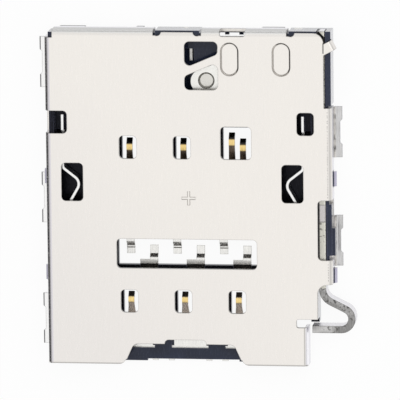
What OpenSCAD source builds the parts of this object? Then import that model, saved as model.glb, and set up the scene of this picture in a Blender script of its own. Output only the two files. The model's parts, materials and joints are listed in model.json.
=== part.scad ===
// Nano SIM tray socket with eject lever: folded steel shell over a moulded housing.
// X runs to the eject rod, Y runs from the tray mouth to the rear, Z = 0 is the board.

/* [Shell] */
// Length from the tray mouth to the rear flange
shell_l = 15.84; // [15.6:0.05:18]
// Height above the board
shell_h = 1.35; // [1.3:0.05:1.6]
// Sheet thickness
sheet_t = 0.15; // [0.12:0.01:0.18]
// Outside radius of the folds
fold_r = 0.25; // [0.22:0.01:0.32]
// Height of the flanges' lower edge above the board
flange_z = 0.36; // [0.32:0.01:0.45]
// How far a solder foot stands out from its flange
foot_reach = 0.38; // [0.34:0.01:0.5]
// Length of a solder foot along the flange
foot_l = 2.4; // [1.6:0.1:2.8]
// Corner radius of the windows
window_r = 0.2; // [0.1:0.01:0.25]
// Depth of the pressed stiffening dimples
dimple_depth = 0.1; // [0.05:0.01:0.12]
// Depth of the finger notch at the tray mouth
notch_depth = 0.98; // [0.8:0.02:1.1]
// Width of the finger notch at its inner end
notch_w = 4.98; // [4.6:0.02:5.4]

/* [Tray] */
// Width of the tray channel
tray_w = 11.1; // [10.9:0.05:11.3]
// Width of the housing rail left of the channel
left_rail_w = 0.725; // [0.7:0.025:0.9]
// Width of the housing rail between the channel and the push rod
right_rail_w = 0.77; // [0.74:0.01:0.9]
// Width of the housing rail right of the tray mouth
mouth_rail_w = 0.15; // [0.12:0.01:0.2]

/* [Contacts] */
// Distance of the front contact row from the tray mouth
row_inset = 2.97; // [2.9:0.01:3.2]
// Pitch of the two contact rows
row_pitch = 7.3; // [7.1:0.05:7.62]
// Pitch of the three contact columns
contact_pitch = 2.54; // [2.4:0.02:2.6]
// Thickness of the contact strip
strip_t = 0.12; // [0.08:0.01:0.15]
// Free height of a contact's crest
crest_z = 0.8; // [0.65:0.05:0.95]
// Length of a rear contact's beam
rear_beam_l = 3.55; // [3.4:0.05:3.6]
// Length of a front contact's beam
front_beam_l = 1.75; // [1.6:0.05:1.85]
// Width of a beam at its root
root_w = 0.6; // [0.5:0.02:0.7]
// Width of a beam at its tip
tip_w = 0.28; // [0.2:0.02:0.34]
// Pitch of the six solder tails
tail_pitch = 1.1; // [1.04:0.02:1.16]
// Width of a solder tail
tail_w = 0.38; // [0.3:0.02:0.44]
// Length of a tail's flat pad
pad_l = 0.35; // [0.25:0.05:0.4]

/* [Housing] */
// Thickness of the floor
floor_t = 0.3; // [0.26:0.01:0.34]
// Thickness of the wall outside the push rod
rod_wall_t = 0.135; // [0.1:0.005:0.15]
// Thickness of the rear wall
rear_wall_t = 0.15; // [0.12:0.01:0.2]
// Width of a floor slot under a contact
slot_w = 0.82; // [0.76:0.02:0.9]
// Height of the sill at the tray mouth above the floor
sill_h = 0.1; // [0.05:0.01:0.15]

/* [Eject] */
// Thickness of the push rod
rod_t = 0.34; // [0.28:0.01:0.36]
// Travel of the push rod
rod_travel = 1.5; // [1.2:0.05:1.55]
// Thickness of the lever
lever_t = 0.3; // [0.24:0.01:0.32]
// Gap between the lever and the dimples that hold it down
lever_gap = 0.1; // [0.06:0.01:0.12]
// Lever length from the pivot to the rod
rod_arm = 2.815; // [2.6:0.05:2.9]
// Lever length from the pivot to the push boss
push_arm = 2.7; // [2.6:0.05:2.75]
// Angle of the lever when the rod is pushed in
lever_rest = 17; // [15:0.5:17]
// Diameter of the pivot post
post_d = 0.9; // [0.7:0.05:1]
// Running gap round moving pieces
run_gap = 0.04; // [0.03:0.005:0.05]

/* [Springs] */
// Thickness of a retention spring
spring_t = 0.12; // [0.08:0.01:0.14]
// How far a spring's nose reaches into the tray channel
nose_reach = 0.7; // [0.5:0.02:0.8]
// Distance of the spring noses from the tray mouth
nose_inset = 8.5; // [8.3:0.05:8.7]

/* [Hidden] */
$fn = 48;
// Overlap of a cutting tool past the face it cuts
over = 0.5;
// Overlap of a bent strip with the plate that it grows from
lead = 0.1;
// Step between a slanting side and the circles that round its ends
hair = 0.001;

// Levels above the board
under_z = shell_h - sheet_t;
plate_z = floor_t - strip_t;
sill_z = floor_t + sill_h;
shoulder_z = under_z - fold_r + sheet_t;
boss_drop = 0.12;
lever_z = under_z - dimple_depth - lever_gap - lever_t;
deck_z = lever_z - run_gap;
switch_z = lever_z - boss_drop - run_gap;
fold_window_z = flange_z + 0.26;

// Faces and fold lines of the shell
shell_w = tray_w + left_rail_w + right_rail_w + rod_t + 2 * run_gap + rod_wall_t + 2 * sheet_t;
half_w = shell_w / 2;
half_l = shell_l / 2;
in_x = half_w - sheet_t;
in_y = half_l - sheet_t;
fold_x = half_w - fold_r;
fold_y = half_l - fold_r;
sheet_r = fold_r - sheet_t / 2;
foot_r = 1.5 * sheet_t;
flange_drop = shell_h - fold_r - flange_z;
flange_path = [[lead], [sheet_r, -90], [flange_drop]];

// Tray channel and tray mouth
card_x = left_rail_w + tray_w / 2 - in_x;
tray_left = card_x - tray_w / 2;
tray_right = card_x + tray_w / 2;
mouth_y = -half_l;
mouth_step = 0.09;
mouth_step_x = [card_x - 1.84, card_x + 2.5];
front_flange_x = tray_right + mouth_rail_w + sheet_t;

// Contact rows, columns and the solder tails between the rows
row_front = row_inset - half_l;
row_rear = row_front + row_pitch;
rear_root = row_rear - rear_beam_l;
front_root = row_front - front_beam_l;
tails_x = card_x + 0.14;
tails_y = row_front + 2.3;
tails_l = 1.4;
tails_w = 6 * tail_pitch;
tail_bend = 0.15;
tail_run = 0.3;
plate_reach = tail_run / 2 + 0.3;
function column_x(i) = card_x + (i - 1) * contact_pitch;
function tail_x(k) = tails_x + (k - 2.5) * tail_pitch;

// Shape of the contact beams
crest_r = 0.3;
root_r = 0.4;
crest_drop = 40;
crest_end = 0.2;
fork_gap = 0.52;
fork_lead = 0.28;
web = 0.1;
prong_w = fork_gap - web;
window_l = 1.08;
window_shift = 0.04;
fork_w = fork_gap + slot_w + web;
fork_window_l = window_l + 0.46;

// Push rod and lever
rod_x = in_x - rod_wall_t - run_gap - rod_t / 2;
rod_z = floor_t + run_gap;
rod_h = under_z - run_gap - rod_z;
rail_x = rod_x - rod_t / 2 - run_gap;
rear_in = in_y - rear_wall_t;
flush = 0.03;
wall_out = half_l - flush;
rod_rear = wall_out;
rod_end_l = 0.25;
ball_d = 0.32;
ball_in = 0.11;
ball_y = rear_in - rod_end_l - ball_d / 2 - 2 * run_gap;
pivot_x = rod_x - ball_in - rod_arm * cos(lever_rest);
pivot_y = ball_y - rod_arm * sin(lever_rest);
lever_end = asin(sin(lever_rest) - rod_travel / rod_arm);
boss_x = pivot_x - push_arm * cos(lever_rest);
boss_y = pivot_y - push_arm * sin(lever_rest);
boss_y_end = pivot_y - push_arm * sin(lever_end);
boss_d = 0.78;
boss_draft = 0.09;
pusher_r = 0.58;
pusher_out = 0.16;
hub_r = 0.8;
rod_arm_w = [0.9, 0.24];
push_arm_w = [1.5, 2 * pusher_r];

// Hook of the push rod, from the end of the straight run to the push bar
straight_end = 3.68 - half_l;
hook_turn = 63.5;
hook_r = 0.7;
hook_slope = 0.78;
loop_r = 0.51;
bar_l = 1.35;
rod_pocket = 0.06;
rod_pocket_l = 0.8;

// Right flange, the rod window in it and the open corner in front of it
flange_rear = half_l - 3.62;
flange_front = straight_end + 0.2;
rod_window = [5.04 - half_l, 7.87 - half_l];
rod_window_x = rail_x + 0.03;
rod_pocket_y = rod_window[1] - 1.04;
guard_l = 1.5;
guard_out = 0.12;
arc_r = 0.45;
corner_y = 2.23 - half_l;
corner_l = 0.4;
corner_in = 0.23;
corner_under = 0.25;
rail_nose = 0.24;

// Lever bay and detect switch at the rear
bay_x = boss_x + 0.654;
bay_y = pivot_y - 1.36;
tray_stop = boss_y_end - pusher_r - 0.03;
detect_h = 0.2;
detect_z = switch_z - detect_h;
detect_bend = 0.15;
tail_y = wall_out - strip_t / 2;
leg_l = 0.35;
terminal_x = boss_x - 0.76;
blade_y = [tray_stop + 0.04, tray_stop + 0.6];
blade_step = 0.1;
detect_x = rod_x - 0.8;
groove_y = rear_in - 0.15;
groove_w = 0.3;
contact_gap = 0.15;

// Openings of the rear fold and of the housing below it
rear_window = [bay_x + 0.02, bay_x + 1.2];
rear_window_y = fold_y - 0.03;
rear_opening = [bay_x - 0.2, bay_x + 1.25];
lip = [0.1, 0.2];
nub_x = [bay_x + 0.25, bay_x + 0.92];
nub_w = 0.2;

// Retention springs
nose_y = nose_inset - half_l;
spring_inset = 0.1;
spring_x = tray_left - spring_inset;
spring_z = floor_t + 0.1;
spring_h = under_z - spring_z - 0.1;
anchor_y = [nose_y + 2.55, nose_y + 3.29];
grip_z = spring_z + 0.3;
waist_y = nose_y + 1.15;
waist_drop = 0.25;
bend_r = 0.2;
nose_r = 0.4;
nose_in = 52;
nose_out = 30;
tip_l = 0.8;
pocket_depth = 0.4;
pocket_front = nose_y - 1.2;

// Angle of a slope that climbs rise over run between two bends whose radii add up to bends
function slope_angle(run, rise, bends) =
    asin(bends / norm([run, bends - rise])) - atan2(bends - rise, run);

// Length of the straight part of that slope
function slope_length(run, bends, angle) = (run - bends * sin(angle)) / cos(angle);

// Ring sector round the origin that turns by angle from a start angle
module sector(r, t, start, angle) {
    far = 3 * (r + t);
    middle = start + angle / 2;
    stop = start + angle;
    intersection() {
        difference() {
            circle(r + t / 2);
            circle(r - t / 2);
        }
        polygon([
            [0, 0],
            far * [cos(start), sin(start)],
            far * [cos(middle), sin(middle)],
            far * [cos(stop), sin(stop)]
        ]);
    }
}

// Side view of a bent strip that starts along +X: each step is [length] or [radius, angle]
module strip(path, t, i = 0) {
    if (i < len(path)) {
        step = path[i];
        if (len(step) == 1) {
            translate([0, -t / 2]) square([step[0], t]);
            translate([step[0], 0]) strip(path, t, i + 1);
        } else {
            side = sign(step[1]);
            translate([0, side * step[0]]) {
                sector(step[0], t, -90 * side, step[1]);
                rotate(step[1]) translate([0, -side * step[0]]) strip(path, t, i + 1);
            }
        }
    }
}

// Strip bent in the YZ plane, w wide along X and centred on it
module flat_strip(path, t, w) {
    translate([-w / 2, 0, 0]) rotate([90, 0, 90]) linear_extrude(w) strip(path, t);
}

// Convex shape with round corners; the centres of its corner circles run anticlockwise.
// A slanting side lies a hair inside the tangent, so that it cuts the circles at a clear angle.
module round_shape(centres, r) {
    polygon(centres);
    for (i = [0 : len(centres) - 1]) {
        side = centres[(i + 1) % len(centres)] - centres[i];
        out = side[0] * side[1] == 0 ? r : r - hair;
        translate(centres[i]) {
            circle(r);
            rotate(atan2(side[1], side[0])) translate([0, -out]) square([norm(side), 2 * out]);
        }
    }
}

// Rectangle with round corners, centred
module rounded(w, l, r) {
    x = w / 2 - r;
    y = l / 2 - r;
    round_shape([[-x, -y], [x, -y], [x, y], [-x, y]], r);
}

// Rectangle between two corners
module span(x0, x1, y0, y1) {
    polygon([[x0, y0], [x1, y0], [x1, y1], [x0, y1]]);
}

// The same rectangle with round corners
module round_span(x0, x1, y0, y1, r) {
    translate([(x0 + x1) / 2, (y0 + y1) / 2]) rounded(x1 - x0, y1 - y0, r);
}

// Shell: flange segments, feet and reliefs
left_rear = half_l - 0.38;
rear_edge = half_l - 0.09;
rear_flanges = [[0.37 - half_w, terminal_x - 1.69], [terminal_x + 0.57, detect_x - 0.78]];
rear_tabs = [
    [0.6 - half_w, 1.8 - half_w], [terminal_x - 2.59, terminal_x - 2.24],
    [detect_x - 2.03, detect_x - 0.98]
];
left_feet = [left_rear - foot_l / 2 - 0.13, nose_y - 0.8, 1.93 - half_l];
right_feet = [flange_rear - 1.28, rod_window[0] + 0.76];
foot_recess = [1, 0.1];
plate_edge = fold_x - 0.1;
plate_corner_r = 0.5;
relief_r = 0.19;
relief_in = 0.02;
tab_at = [plate_edge - 0.1, fold_y - 0.67];
tab_turn = 27;
tab_w = 0.47;
tab_run = 0.43;
tab_path = [[lead + tab_run], [0.1, -75], [0.2]];
tab_room = 0.3;
side_window = [anchor_y[0] - 0.12, anchor_y[1] + 0.21];
side_window_x = spring_x + 0.25;
side_window_w = 0.8;
nose_window = [1.02, 1.8];
nose_window_at = [0.47, 0.14];
dimple_size = [0.86, 1.58];
dimple_draft = 0.07;
dimple_x = [pivot_x - 1.45, pivot_x + 0.97];
dimple_y = fold_y - 1.1;
cross_l = 0.66;
cross_w = 0.08;
cross_depth = 0.03;

// Finger notch: lean of its walls, corner radii, and the bay over the contact roots
notch_lean = 0.34;
notch_r = 0.35;
notch_bay = [1.95, 0.2];
notch_bay_x = 0.07;
notch_bay_r = 0.18;

// Windows over the lever's push boss: width, corner radius, ends and the bridge that parts them
eject_window_x = boss_x - 0.2;
eject_window_w = 1.56;
eject_window_r = 0.24;
eject_window_y = [boss_y - 0.4, boss_y_end + 0.44];
bridge_y = (boss_y + boss_y_end) / 2 + 0.05;
bridge_w = 0.35;
bridge_turn = lever_rest + 6;

// Strip folded over a side edge at x = 0, between two places along Y
module side_fold(y, path) {
    translate([-lead, y[1], shell_h - sheet_t / 2]) rotate([90, 0, 0]) linear_extrude(y[1] - y[0])
        strip(path, sheet_t);
}

// Strip folded over the rear edge, between two places along X
module rear_fold(x) {
    translate([x[0], fold_y - lead, shell_h - sheet_t / 2]) rotate([90, 0, 90])
        linear_extrude(x[1] - x[0]) strip(flange_path, sheet_t);
}

// Turns its children to the hold-down tab at the rear corner
module at_tab(z) {
    translate([tab_at[0], tab_at[1], z]) rotate(tab_turn) children();
}

// Solder foot turned out below the right flange, with a recess in its outer edge
module foot(y) {
    run = lead + flange_z - sheet_t / 2 - foot_r;
    reach = foot_reach + sheet_t / 2 - foot_r;
    half = foot_recess[0] / 2;
    depth = foot_recess[1];
    difference() {
        translate([half_w - sheet_t / 2, y + foot_l / 2, flange_z + lead]) rotate([90, 0, 0])
            linear_extrude(foot_l) rotate(-90) strip([[run], [foot_r, 90], [reach]], sheet_t);
        translate([half_w + foot_reach - depth, y, -over]) linear_extrude(2 * over)
            polygon([[0, -half], [over, -half - over], [over, half + over], [0, half]]);
    }
}

// Finger notch with leaning walls, round inner corners and round edges at the tray mouth
module mouth_notch() {
    side = notch_w / 2;
    mouth = side + notch_lean;
    outside = side + notch_lean * (notch_depth + over) / notch_depth;
    lean = atan2(notch_lean, notch_depth);
    edge = notch_r * tan((90 - lean) / 2);
    translate([card_x, -half_l]) {
        round_shape([
            [notch_r - outside, -over], [outside - notch_r, -over],
            [side - notch_r, notch_depth - notch_r], [notch_r - side, notch_depth - notch_r]
        ], notch_r);
        for (turn = [0, 1]) mirror([turn, 0]) difference() {
            polygon([
                [0, -over], [mouth + edge, -over], [mouth + edge, notch_r],
                [mouth - edge * sin(lean), edge * cos(lean)], [0, edge * cos(lean)]
            ]);
            translate([mouth + edge, notch_r]) circle(notch_r);
        }
        translate([notch_bay_x, notch_depth]) rounded(notch_bay[0], 2 * notch_bay[1], notch_bay_r);
    }
}

// Two windows over the lever's push boss, parted by a slanting bridge
module eject_windows() {
    x = eject_window_w / 2 - eject_window_r;
    rise = x * tan(bridge_turn);
    edge = (bridge_w / 2 + eject_window_r) / cos(bridge_turn);
    top = eject_window_y[1] - bridge_y - eject_window_r;
    bottom = eject_window_y[0] - bridge_y + eject_window_r;
    translate([eject_window_x, bridge_y]) {
        round_shape([[-x, edge - rise], [x, edge + rise], [x, top], [-x, top]], eject_window_r);
        round_shape([[-x, bottom], [x, bottom], [x, rise - edge], [-x, -rise - edge]], eject_window_r);
    }
}

// Slot with a round end that lets a rear flange fold beside the plate
module fold_relief(x) {
    translate([x, fold_y + relief_r - relief_in]) {
        circle(relief_r);
        translate([-relief_r, 0]) square([2 * relief_r, half_l]);
    }
}

// Outline of the flat cover plate, without its windows
module plate_outline() {
    difference() {
        union() {
            span(-fold_x, fold_x, -half_l, fold_y);
            span(rear_flanges[0][1] + relief_r, rear_flanges[1][0] - relief_r, fold_y - lead, rear_edge);
            span(rear_flanges[1][1] + relief_r, plate_edge, fold_y - lead, rear_edge);
        }
        span(-half_w, rear_flanges[0][0], left_rear, half_l);
        span(plate_edge, half_w, flange_rear, half_l);
        translate([plate_edge - plate_corner_r, rear_edge - plate_corner_r]) difference() {
            square(plate_corner_r + over);
            circle(plate_corner_r);
        }
        fold_relief(rear_flanges[0][1] + relief_r);
        fold_relief(rear_flanges[1][0] - relief_r);
        fold_relief(rear_flanges[1][1] + relief_r);
        translate([rail_x + arc_r, flange_front - arc_r]) circle(arc_r);
        span(rail_x, half_w, -half_l - over, flange_front - arc_r);
        span(rail_x + arc_r, half_w, -half_l - over, flange_front);
        round_span(tray_right - corner_in, half_w, corner_y - corner_l, corner_y, corner_l / 4);
        span(front_flange_x - fold_r, half_w, -half_l - over, corner_y - corner_l / 2);
        mouth_notch();
    }
}

// Windows over contacts, tails, springs and lever
module plate_windows() {
    for (i = [0 : 2], y = [row_rear, row_front])
        if (i < 2 || y == row_front)
            translate([column_x(i), y + window_shift]) rounded(slot_w, window_l, window_r);
    translate([column_x(2), row_rear + window_shift + (fork_window_l - window_l) / 2])
        rounded(fork_w, fork_window_l, window_r);
    translate([tails_x + window_shift, tails_y]) rounded(tails_w, tails_l, window_r);
    for (turn = [0, 1]) mirror_on_card(turn)
        translate([spring_x + nose_window_at[0], nose_y + nose_window_at[1]])
            rounded(nose_window[0], nose_window[1], window_r);
    mirror_on_card() round_span(side_window_x - side_window_w, side_window_x,
        side_window[0], side_window[1], window_r);
    eject_windows();
}

// Windows that run over a fold into a flange
module fold_windows() {
    round_span(rod_window_x, shell_w, rod_window[0], rod_window[1], window_r);
    round_span(-shell_w, side_window_x, side_window[0], side_window[1], window_r);
    round_span(rear_window[0], rear_window[1], rear_window_y, shell_l, window_r / 2);
}

// Pressed dimple with a drafted wall, centred on the face that it is pressed into
module dimple(w, l) {
    for (y = [-1, 1]) translate([0, y * (l - w) / 2, -dimple_depth])
        cylinder(h = 2 * dimple_depth, r1 = w / 2 - dimple_draft, r2 = w / 2 + dimple_draft);
    rotate([90, 0, 0]) linear_extrude(l - w, center = true) polygon([
        [dimple_draft - w / 2, -dimple_depth], [w / 2 - dimple_draft, -dimple_depth],
        [w / 2 + dimple_draft, dimple_depth], [-dimple_draft - w / 2, dimple_depth]
    ]);
}

// One groove of the stamped cross, with sloping sides
module cross_groove() {
    foot_half = cross_w / 2;
    top_half = foot_half + 2 * cross_depth;
    rotate([90, 0, 90]) linear_extrude(cross_l, center = true) polygon([
        [-foot_half, -cross_depth], [foot_half, -cross_depth],
        [top_half, cross_depth], [-top_half, cross_depth]
    ]);
}

module shell() color([0.86, 0.85, 0.81]) {
    difference() {
        union() {
            translate([0, 0, under_z]) linear_extrude(sheet_t) difference() {
                plate_outline();
                plate_windows();
            }
            translate([fold_x, 0, 0]) side_fold([flange_front, flange_rear], flange_path);
            mirror([1, 0, 0]) translate([fold_x, 0, 0]) side_fold([-half_l, left_rear], flange_path);
            translate([front_flange_x - fold_r, 0, 0])
                side_fold([-half_l, corner_y - corner_l], flange_path);
            at_tab(0) side_fold([-tab_w / 2, tab_w / 2], tab_path);
            for (x = rear_flanges) rear_fold(x);
            for (x = rear_tabs)
                translate([x[0], in_y, 0]) cube([x[1] - x[0], sheet_t, flange_z + lead]);
            for (y = right_feet) foot(y);
            mirror([1, 0, 0]) for (y = left_feet) foot(y);
            for (x = dimple_x) translate([x, dimple_y, under_z])
                dimple(dimple_size[0] + sheet_t, dimple_size[1] + sheet_t);
        }
        for (x = dimple_x) translate([x, dimple_y, shell_h]) dimple(dimple_size[0], dimple_size[1]);
        translate([0, 0, fold_window_z]) linear_extrude(shell_h) fold_windows();
        lug_holes();
        translate([0, 0, shell_h]) for (turn = [0, 90]) rotate(turn) cross_groove();
    }
}

// Lead-frame plates of the contacts, set flush in the floor
arm_w = 0.42;
root_l = 0.6;
root_left = 0.6;
root_right = slot_w / 2 + web + arm_w;
carrier = [-0.86, 1.2];
carrier_l = 0.2;
stub_w = 0.28;
base_left = 0.65;
base_right = 0.2;
jog_y = row_front + window_l / 2 + 0.2;
rear_bar = [tails_y + tails_l / 2 + web, rear_root - 0.2];

function beam_slot(i, crest_y) = i == 2 && crest_y == row_rear ? fork_w : slot_w;
function beam_root_w(i) = i == 2 ? fork_gap + prong_w : root_w;

module rear_plate(i) {
    column = column_x(i);
    half = beam_root_w(i) / 2;
    tail = tail_x(2 * i);
    left = min(column - half, tail - tail_w / 2);
    right = max(column + half, tail + tail_w / 2);
    span(column - half, column + half, rear_bar[0], rear_root);
    span(left, right, rear_bar[0], rear_bar[1]);
    span(tail - tail_w / 2, tail + tail_w / 2, tails_y + plate_reach, rear_bar[1]);
}

module front_plate(i) {
    column = column_x(i);
    tail = tail_x(2 * i + 1);
    arm = column + slot_w / 2 + web;
    left = min(arm, tail - base_left);
    right = max(arm + arm_w, tail + base_right);
    span(column - root_left, column + root_right, front_root - root_l, front_root);
    span(arm, arm + arm_w, front_root - root_l, jog_y + arm_w);
    span(left, right, jog_y, jog_y + arm_w);
    span(tail - base_left, tail + base_right, jog_y, tails_y - plate_reach);
}

// Cut ends of the lead frame, which pass under the sill to the tray mouth
module lead_frame_stubs(i) {
    root = front_root - root_l;
    translate([column_x(i), 0]) {
        span(carrier[0], carrier[1], root - carrier_l, root + lead);
        span(carrier[0], carrier[0] + stub_w, mouth_y, root);
        span(carrier[1] - stub_w, carrier[1], mouth_y, root);
    }
}

// Beam that climbs from the floor to a rounded crest and turns down at its free end
module beam(root_y, crest_y, w) {
    run = crest_y - root_y;
    bends = root_r + crest_r;
    climb = slope_angle(run, crest_z - floor_t, bends);
    path = [
        [lead], [root_r, climb], [slope_length(run, bends, climb)],
        [crest_r, -climb - crest_drop], [crest_end]
    ];
    translate([0, root_y - lead, floor_t - strip_t / 2]) flat_strip(path, strip_t, w);
}

// Plan of a beam that narrows from its root to its tip
module beam_plan(root_y, crest_y, w) {
    polygon([
        [-w / 2, root_y - over], [w / 2, root_y - over], [w / 2, root_y],
        [tip_w / 2, crest_y - crest_r], [tip_w / 2, crest_y + over],
        [-tip_w / 2, crest_y + over], [-tip_w / 2, crest_y - crest_r], [-w / 2, root_y]
    ]);
}

module tapered_beam(root_y, crest_y, w) {
    intersection() {
        beam(root_y, crest_y, w);
        linear_extrude(shell_h) beam_plan(root_y, crest_y, w);
    }
}

// Solder tail that steps from the plate down to the board; way is its direction along Y
module tail(x, y, way) {
    bends = 2 * tail_bend;
    fall = slope_angle(tail_run, plate_z, bends);
    path = [
        [lead], [tail_bend, -fall], [slope_length(tail_run, bends, fall)],
        [tail_bend, fall], [pad_l]
    ];
    translate([x, y - way * lead, floor_t - strip_t / 2]) mirror([0, way < 0 ? 1 : 0, 0])
        flat_strip(path, strip_t, tail_w);
}

module contact_colour() {
    color([0.78, 0.69, 0.5]) children();
}

module rear_contact(i) contact_colour() {
    translate([0, 0, plate_z]) linear_extrude(strip_t) rear_plate(i);
    translate([column_x(i), 0, 0]) tapered_beam(rear_root, row_rear, root_w);
    tail(tail_x(2 * i), tails_y + plate_reach, -1);
}

// Forked contact: two beams of unequal length side by side
module forked_contact(i) contact_colour() {
    translate([0, 0, plate_z]) linear_extrude(strip_t) rear_plate(i);
    for (side = [-1, 1]) translate([column_x(i) + side * fork_gap / 2, 0, 0])
        tapered_beam(rear_root, row_rear + (1 - side) / 2 * fork_lead, prong_w);
    tail(tail_x(2 * i), tails_y + plate_reach, -1);
}

module front_contact(i) contact_colour() {
    translate([0, 0, plate_z]) linear_extrude(strip_t) {
        front_plate(i);
        lead_frame_stubs(i);
    }
    translate([column_x(i), 0, 0]) tapered_beam(front_root, row_front, root_w);
    tail(tail_x(2 * i + 1), tails_y - plate_reach, 1);
}

module contact_rear_left() rear_contact(0);
module contact_rear_middle() rear_contact(1);
module contact_rear_right() forked_contact(2);
module contact_front_left() front_contact(0);
module contact_front_middle() front_contact(1);
module contact_front_right() front_contact(2);

// Retention spring: gripped at its rear end, waisted, with a nose that springs into the channel
module left_spring() {
    rise = spring_inset + nose_reach - spring_t / 2;
    bends = bend_r + nose_r;
    slope = (rise - bends * (1 - cos(nose_in))) / sin(nose_in);
    run = bends * sin(nose_in) + slope * cos(nose_in);
    path = [
        [anchor_y[1] - nose_y - run], [bend_r, nose_in], [slope],
        [nose_r, -nose_in - nose_out], [tip_l]
    ];
    difference() {
        translate([spring_x, anchor_y[1], spring_z]) linear_extrude(spring_h)
            rotate(-90) strip(path, spring_t);
        translate([spring_x - spring_t, waist_y, spring_z + spring_h - waist_drop])
            cube([2 * spring_t, anchor_y[0] - waist_y, over]);
    }
}

// The same on the right of the card's centre line, for a turn of 1
module mirror_on_card(turn = 1) {
    translate([turn * 2 * card_x, 0]) mirror([turn, 0, 0]) children();
}

module retention_spring_left() color([0.8, 0.8, 0.8]) left_spring();
module retention_spring_right() color([0.8, 0.8, 0.8]) mirror_on_card() left_spring();

// Push rod: strip on edge with a hooked push bar, notched for the lever's ball end
module push_rod() color([0.62, 0.62, 0.63]) {
    path = [
        [rod_rear - straight_end], [hook_r, hook_turn], [hook_slope],
        [loop_r, -90 - hook_turn], [bar_l]
    ];
    notch_l = ball_d + 2 * run_gap;
    difference() {
        translate([rod_x, rod_rear, rod_z]) linear_extrude(rod_h) rotate(-90) strip(path, rod_t);
        translate([rod_x - rod_t, ball_y - notch_l / 2, deck_z]) cube([2 * rod_t, notch_l, shell_h]);
        translate([rod_x - rod_t, rod_pocket_y, rod_z + rod_h - rod_pocket])
            cube([2 * rod_t, rod_pocket_l, over]);
    }
}

module lever_plan() {
    circle(hub_r);
    polygon([
        [0, rod_arm_w[0] / 2], [0, -rod_arm_w[0] / 2],
        [rod_arm, -rod_arm_w[1] / 2], [rod_arm, rod_arm_w[1] / 2]
    ]);
    translate([rod_arm, 0]) circle(ball_d / 2);
    polygon([
        [0, push_arm_w[0] / 2], [-push_arm - pusher_out, push_arm_w[1] / 2],
        [-push_arm - pusher_out, -push_arm_w[1] / 2], [0, -push_arm_w[0] / 2]
    ]);
    translate([-push_arm - pusher_out, 0]) circle(pusher_r);
}

module eject_lever() color([0.75, 0.75, 0.75]) {
    translate([pivot_x, pivot_y, lever_z]) rotate(lever_rest) difference() {
        union() {
            linear_extrude(lever_t) lever_plan();
            translate([-push_arm, 0, -boss_drop]) cylinder(d = boss_d, h = lever_t);
        }
        translate([0, 0, -over]) cylinder(d = post_d + 2 * run_gap, h = 2 * over + lever_t);
        translate([-push_arm, 0, lever_t - boss_drop]) cylinder(h = 2 * boss_drop,
            d1 = boss_d - 2 * boss_draft, d2 = boss_d + 2 * boss_draft);
    }
}

// Fixed blade of the detect switch: on edge, stepped down, turned along the rear wall to its tail
module detect_terminal() color([0.8, 0.78, 0.72]) {
    path = [
        [tail_y - detect_bend - blade_y[0]], [detect_bend, 90], [leg_l - detect_bend]
    ];
    difference() {
        translate([terminal_x, blade_y[0], 0]) linear_extrude(switch_z) rotate(90) strip(path, strip_t);
        translate([0, 0, -over]) linear_extrude(detect_z + over)
            span(-half_w, half_w, blade_y[0] - over, tail_y - strip_t);
        translate([0, 0, switch_z - blade_step]) linear_extrude(over)
            span(-half_w, half_w, blade_y[1], half_l);
    }
}

// Spring of the detect switch: from its tail round through the rear wall and along it to the blade
module detect_spring() color([0.8, 0.78, 0.72]) {
    through = tail_y - groove_y - 2 * detect_bend;
    reach = detect_x - detect_bend - terminal_x - contact_gap - strip_t;
    path = [
        [leg_l], [detect_bend, -90], [through], [detect_bend, -90], [reach]
    ];
    difference() {
        translate([detect_x - detect_bend - leg_l, tail_y, 0]) linear_extrude(switch_z)
            strip(path, strip_t);
        translate([0, 0, -over]) linear_extrude(detect_z + over)
            span(-half_w, half_w, 0, tail_y - strip_t);
    }
}

// Catch lugs of the housing, ramped on top, that stand in holes of the side flanges
lug_l = 0.7;
lug_h = 0.3;
lug_z = flange_z + lug_h / 2;
lug_out = 0.15;
lug_lip = 0.12;
lugs_y = [nose_y + 0.3, flange_front + 0.35];
module catch_lugs() {
    root = in_x - sheet_t;
    for (turn = [0, 1], y = lugs_y) mirror([turn, 0, 0])
        translate([0, y, lug_z]) rotate([90, 0, 0]) linear_extrude(lug_l, center = true) polygon([
            [root, 0], [half_w + lug_out, 0], [half_w + lug_out, lug_lip], [half_w, lug_h], [root, lug_h]
        ]);
}

module lug_holes() {
    for (turn = [0, 1], y = lugs_y) mirror([turn, 0, 0])
        translate([in_x, y, lug_z + lug_h / 2])
            cube([over, lug_l + 2 * run_gap, lug_h + 2 * run_gap], center = true);
}

// Outer outline of the housing inside the shell
module housing_outline() {
    difference() {
        span(-in_x, in_x, mouth_y, in_y);
        span(rail_x, half_w, mouth_y - over, flange_front);
        span(tray_right + mouth_rail_w, half_w, mouth_y - over, corner_y);
        span(mouth_step_x[0], mouth_step_x[1], mouth_y - over, mouth_y + mouth_step);
    }
}

// The same above the shoulders that clear the folds
module housing_top() {
    intersection() {
        housing_outline();
        difference() {
            span(-fold_x, fold_x, mouth_y, fold_y);
            span(front_flange_x - fold_r, half_w, mouth_y - over, corner_y - corner_l);
        }
    }
}

// Walls that fill the gaps between the flanges, almost flush with the shell's outer faces
module housing_fillers() {
    clear = relief_r / 2;
    side = half_w - flush;
    wall = in_x - rod_wall_t;
    linear_extrude(under_z) {
        span(rear_flanges[0][1] + clear, rear_flanges[1][0] - clear, rear_in, wall_out);
        span(rear_flanges[1][1] + clear, side, rear_in, wall_out);
        span(wall, side, flange_rear + clear, wall_out);
    }
    linear_extrude(fold_window_z - run_gap)
        span(tray_right + mouth_rail_w + corner_in, rail_x, corner_y - rail_nose, corner_y + lead);
    translate([0, 0, fold_window_z + run_gap]) {
        linear_extrude(under_z - fold_window_z - 2 * run_gap)
            span(wall, side, rod_window[0] + window_r, rod_window[1] - window_r);
        linear_extrude(under_z - fold_window_z - 4 * run_gap)
            span(wall, half_w + guard_out, rod_window[0] + window_r, rod_window[0] + guard_l);
    }
}

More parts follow.
